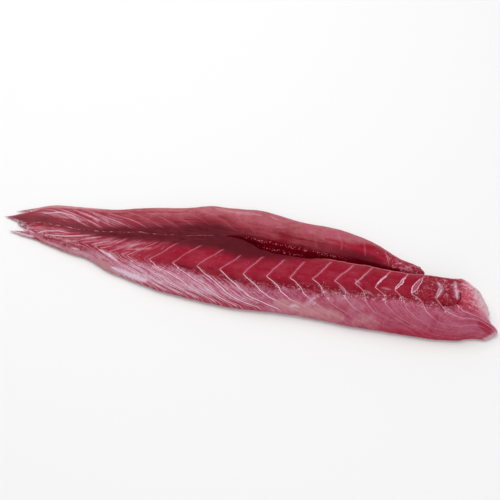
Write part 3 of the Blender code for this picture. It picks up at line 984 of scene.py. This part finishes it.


# Tanned patches, whitened ones that fine streaks and specks break up, brown stippling between the tail's
# rim and the middle of the loin, and painted shade: the gashes darkened near-black.
def patches(f):
    f.lay(f.ease(0.15, 0.95, f.tan + f.sway(small=0.5, middle=0.6)) * 0.85, "tan")
    f.lay(f.white * (f.small * 0.65 + f.streakFine * 0.2), "paleStreak")
    breakUp = f.streakFine * 0.7 + f.fine * 0.5 + f.small * 0.3 - f.along(85, 115) * (1 - f.fibres) * 0.14
    whitened = f.ease(0.45, 0.8, f.white * breakUp)
    f.lay(whitened * 0.85, "white")
    stipple = f.ease(0.45, 0.55, f.small * 0.5 + f.fine * 0.5) * f.ease(0.5, 2, f.rim) * f.loin
    stipple *= f.ease(0.4, 0.52, f.middle * 0.6 + f.broad * 0.4) * f.ease(0.62, 0.42, f.across)
    stipple *= f.along(-98, -112) * f.along(-150, -138)
    f.lay(stipple * 0.7 * (1 - whitened * 0.7), "tailBrown")
    # Painted shade: the gashes are darkened near-black, as if in their own shadow.
    f.lay(f.ease(0.35, 0.85, f.gash * (0.4 + f.small * 1.3)) * 0.8, "gash")


# Dashes of the seam's own membrane.
def membrane(f):
    dashes = f.ease(0.44, 0.58, f.dash * 0.75 + f.small * 0.25)
    dashes *= f.ease(0.5, 0.05, abs(f.seam + f.sway(small=1.2, broad=3)))
    f.lay(dashes * f.along(-14, -22) * (f.along(-50, -70) * 0.5 + 0.25), "septum")


# Torn whitish fibres near both head ends and at the border of the crimson.
def tornFibres(f):
    torn = f.ease(114, 124, f.x + f.sway(middle=14)) * f.ease(4, -4, f.pale) * f.loin
    torn *= f.ease(0.35, 0.5, f.across)
    f.lay(torn * f.broad * 0.5, "crimsonBrown")
    tufts = f.ease(0.4, 0.62, f.middle * 0.6 + f.small * 0.2 + f.broad * 0.2)
    f.lay(f.fibres * torn * (0.08 + tufts * 0.55), "septumPale")
    border = f.ease(-6, -2, f.border) * f.ease(4, 0.5, f.border) * f.loin
    besideArm = f.ease(2.2, 0.4, f.away) * (1 - f.arm) * f.along(-90, -60)
    border *= (besideArm + f.along(0, 50) * 0.6) * f.ease(0.4, 0.55, f.middle * 0.5 + f.small * 0.5)
    f.lay(f.fibres * border * 0.75, "septumPale")
    belly = f.ease(88, 106, f.x + f.sway(middle=16)) * f.lobe
    f.lay(f.fibres * belly * (0.15 + tufts * 0.5), "septumPale")


# The loin's head end: pink beyond the crack, then whitish and ragged to the edge.
def headEnd(f):
    pink = f.ease(143, 151, f.x + f.sway(middle=8)) * (0.55 + f.small * 0.6) * (1 - f.red * 0.8)
    pink *= f.ease(0.26, 0.36, f.across + f.sway(middle=0.12))
    inwards = f.fromHead + f.sway(middle=8, small=5, lengthwise=22)
    zone = f.along(118, 140) * f.ease(0.2, 0.34, f.across) * (1 - f.red * 0.7)
    f.lay(pink, "headPink")
    f.lay(f.ease(18, 5, inwards) * zone * 0.5, "headPink")
    f.lay(f.ease(16, 2, inwards) * zone * (f.ease(0.34, 0.54, f.across) * 0.7 + 0.3), "head")
    f.lay(f.fibres * pink * 0.5, "head")
    f.lay(f.ease(2.6, 0.2, f.fromHead + f.sway(small=3)) * f.along(118, 140) * 0.6, "head")


# Whitish tips of the tail's strands, and a painted sheen: a pale band along the loin's rounded lip of the
# cut.
def tipsAndLip(f):
    tip = f.ease(7, 0, f.fromTail + f.sway(middle=8))
    f.lay(tip * (0.3 + f.ease(0.45, 0.6, f.fine * 0.5 + f.small * 0.5) * 0.7) * 0.8, "white")
    # Painted highlight: a pale sheen along the rounded lip.
    lipSheen = f.ease(2.4, 1, abs(f.seam) + f.sway(small=1.5)) * f.loin
    f.lay(lipSheen * f.along(45, 65) * f.along(150, 115) * 0.7, "lipSheen")


# The cracks as painted shade: dark lines drawn from the same points as their relief and broken where they
# meet.
def crackLines(f):
    u = f.x + f.sway(small=1.2)
    v = f.across * form["loinWidth"] + f.sway(middle=1.6)
    main = f.ease(0.5, 0.2, f.distance(cracks["main"], u, v)) * f.along(143.6, 144.6)
    side = f.ease(0.4, 0.1, f.distance(cracks["side"], u, v)) * f.ease(0.36, 0.5, f.fine)
    side *= f.along(142.4, 141.4)
    long = f.ease(0.4, 0.1, f.distance(cracks["long"], u, v)) * f.ease(0.45, 0.6, f.fine) * 0.7
    crack = main.math("MAXIMUM", main, side.math("MAXIMUM", side, long))
    # Painted shade: the cracks are laid near-black.
    f.lay(crack * f.loin * 0.9, "gash")


# Faces of the cut, with two rows of painted highlights as glistening specks, and the underside.
def cutAndUnder(f):
    rows = f.ease(0.13, 0.07, abs(f.wall - 0.07 - f.sway(broad=0.12))) * f.along(78, 50)
    lower = f.ease(0.11, 0.06, abs(f.wall - 0.5 - f.sway(broad=0.2)))
    rows = (rows + lower * f.along(40, 34) * f.along(4, 10)) * f.along(-10, -4)
    wall = f.mix(f.ease(0.3, 0.7, f.lengthwise * 0.6 + f.small * 0.4), "wallDeep", "wall")
    # Painted highlight: bright glints laid in two rows on the cut's faces.
    f.lay(f.ease(0, 0.06, f.wall), f.mix(f.ease(0.6, 0.66, f.speck) * rows * 0.9, wall, "speck"))
    f.lay(f.under, f.mix(f.ease(0.35, 0.7, f.streak), "under", "tan"))


# Grain, and the odd glistening fleck, a painted highlight.
def grainAndGlints(f):
    f.lay(f.ease(0.35, 0.75, f.grain) * 0.16, "crimsonBrown")
    fleshGlints = f.ease(0.76, 0.82, f.fleck) * f.ease(0.48, 0.62, f.middle)
    # Painted highlight: small glints laid in the septum's pale pink.
    f.lay(fleshGlints * 0.5 * (1 - f.under) * (1 - f.bloodMask), "septum")


fleshLayers = (
    innerFlesh, outerFlesh, redFlesh, bloodLine, septumLines, looseFlaps, patches, membrane, tornFibres,
    headEnd, tipsAndLip, crackLines, cutAndUnder, grainAndGlints,
)


def fleshFinish(mesh):
    f = Finish("raw_flesh")
    fleshValues(f, mesh)
    for layer in fleshLayers:
        layer(f)
    f.connect("Base Color", f.colour)
    f.connect("Roughness", 0.38 + f.fine * 0.18 + f.paleMask * 0.06)
    for name, value in shine.items():
        f.shader.inputs[name].default_value = value
    height = f.streak * f.paleMask * 0.6 + f.fine * 0.4 + f.lengthwise * (1 - f.paleMask) * 0.4
    f.connect("Normal", f.add("Bump", {}, bump | {"Height": height}))
    return f.material


def addPiece(name, mesh, material):
    piece = bpy.data.objects.new(name, mesh)
    bpy.context.scene.collection.objects.link(piece)
    mesh.materials.append(material)
    return piece


filletMesh = buildFillet()
fillet = addPiece("raw_fillet", filletMesh, fleshFinish(filletMesh))
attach(fillet, "root")
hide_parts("fillet")
print("fillet built:", len(fillet.data.vertices), "points")


studio = {
    "azimuth": 13.0,
    "elevation": 48.0,
    "distance": 1.0,
    "target": (0.0, 0.010, 0.0),
    "lens": 105.0,
    "sensor": 36.0,
    "floorHalf": 3.0,
    "floorColour": (0.92, 0.92, 0.92, 1.0),
    "floorRoughness": 0.9,
    "worldColour": (1.0, 1.0, 1.0, 1.0),
    "worldStrength": 0.6,
    "keyPlace": (-0.25, 0.35, 0.9),
    "keySize": 0.9,
    "keyPower": 5.1,
    "fillPlace": (0.5, -0.7, 0.6),
    "fillSize": 0.8,
    "fillPower": 1.7,
}


def aim(thing, target):
    direction = np.array(target) - np.array(thing.location)
    flat = math.hypot(direction[0], direction[1])
    thing.rotation_euler = (math.atan2(flat, -direction[2]), 0, math.atan2(-direction[0], direction[1]))


def addLight(name, place, size, power):
    light = bpy.data.lights.new(name, "AREA")
    light.size, light.energy = size, power
    lamp = bpy.data.objects.new(name, light)
    lamp.location = place
    aim(lamp, studio["target"])
    bpy.context.scene.collection.objects.link(lamp)


def addFloor():
    half = studio["floorHalf"]
    mesh = bpy.data.meshes.new("floor")
    corners = [(-half, -half, 0), (half, -half, 0), (half, half, 0), (-half, half, 0)]
    mesh.from_pydata(corners, [], [(0, 1, 2, 3)])
    f = Finish("floor_paper")
    f.shader.inputs["Base Color"].default_value = studio["floorColour"]
    f.shader.inputs["Roughness"].default_value = studio["floorRoughness"]
    floor = addPiece("floor", mesh, f.material)


def addCamera():
    data = bpy.data.cameras.new("camera")
    data.lens, data.sensor_width = studio["lens"], studio["sensor"]
    camera = bpy.data.objects.new("camera", data)
    turn, rise = math.radians(studio["azimuth"]), math.radians(studio["elevation"])
    back = (math.sin(turn) * math.cos(rise), -math.cos(turn) * math.cos(rise), math.sin(rise))
    camera.location = [t + b * studio["distance"] for t, b in zip(studio["target"], back)]
    aim(camera, studio["target"])
    bpy.context.scene.collection.objects.link(camera)
    bpy.context.scene.camera = camera


addFloor()
addLight("key", studio["keyPlace"], studio["keySize"], studio["keyPower"])
addLight("fill", studio["fillPlace"], studio["fillSize"], studio["fillPower"])
addCamera()
world = bpy.data.worlds.new("studio")
world.use_nodes = True
background = world.node_tree.nodes["Background"].inputs
background["Color"].default_value = studio["worldColour"]
background["Strength"].default_value = studio["worldStrength"]
bpy.context.scene.world = world
bpy.context.scene.view_settings.view_transform = "Standard"
print("studio built")
